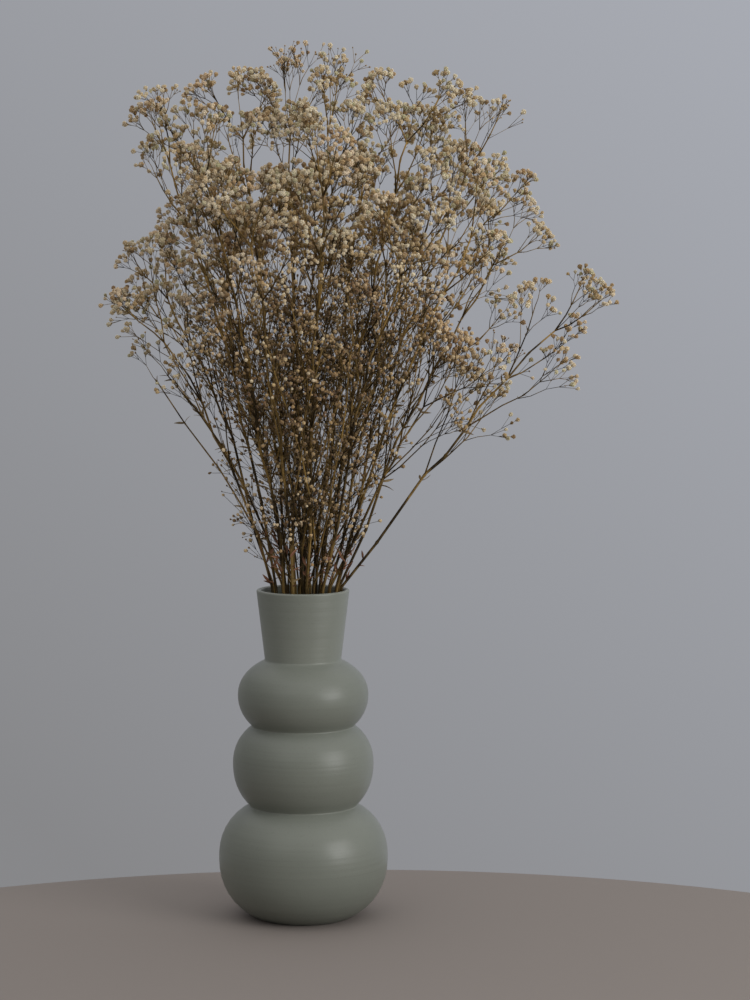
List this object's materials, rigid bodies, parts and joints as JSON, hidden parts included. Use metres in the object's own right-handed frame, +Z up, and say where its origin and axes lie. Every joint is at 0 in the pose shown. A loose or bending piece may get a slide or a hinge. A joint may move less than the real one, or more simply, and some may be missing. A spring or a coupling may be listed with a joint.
{
  "type": "preserved gypsophila in vase",
  "caption": "Bunch of dried, preserved gypsophila (baby's breath) on thin branching stems, standing in a tall stoneware vase of stacked round bulbs with a plain flared collar.",
  "frame": {"origin": "centre of the vase's flat foot, where it stands on a surface", "axes": "+Z up along the vase's axis, +X to the right and -Y towards the viewer as seen from the front"},
  "size_m": [0.4094, 0.3079, 0.7094],
  "materials": {
    "glaze": "even matte sage green glaze, with a soft satin sheen",
    "dried_sprays": "dried and preserved plant: olive brown stems with cream and tan blooms"
  },
  "bodies": {
    "root": {"vase": "glaze", "spray_01": "dried_sprays", "spray_02": "dried_sprays", "spray_03": "dried_sprays", "spray_04": "dried_sprays", "spray_05": "dried_sprays", "spray_06": "dried_sprays", "spray_07": "dried_sprays", "spray_08": "dried_sprays", "spray_09": "dried_sprays", "spray_10": "dried_sprays", "spray_11": "dried_sprays", "spray_12": "dried_sprays", "spray_13": "dried_sprays", "spray_14": "dried_sprays", "spray_15": "dried_sprays", "spray_16": "dried_sprays", "spray_17": "dried_sprays", "spray_18": "dried_sprays", "spray_19": "dried_sprays", "spray_20": "dried_sprays", "spray_21": "dried_sprays", "spray_22": "dried_sprays"}
  },
  "joints": []
}
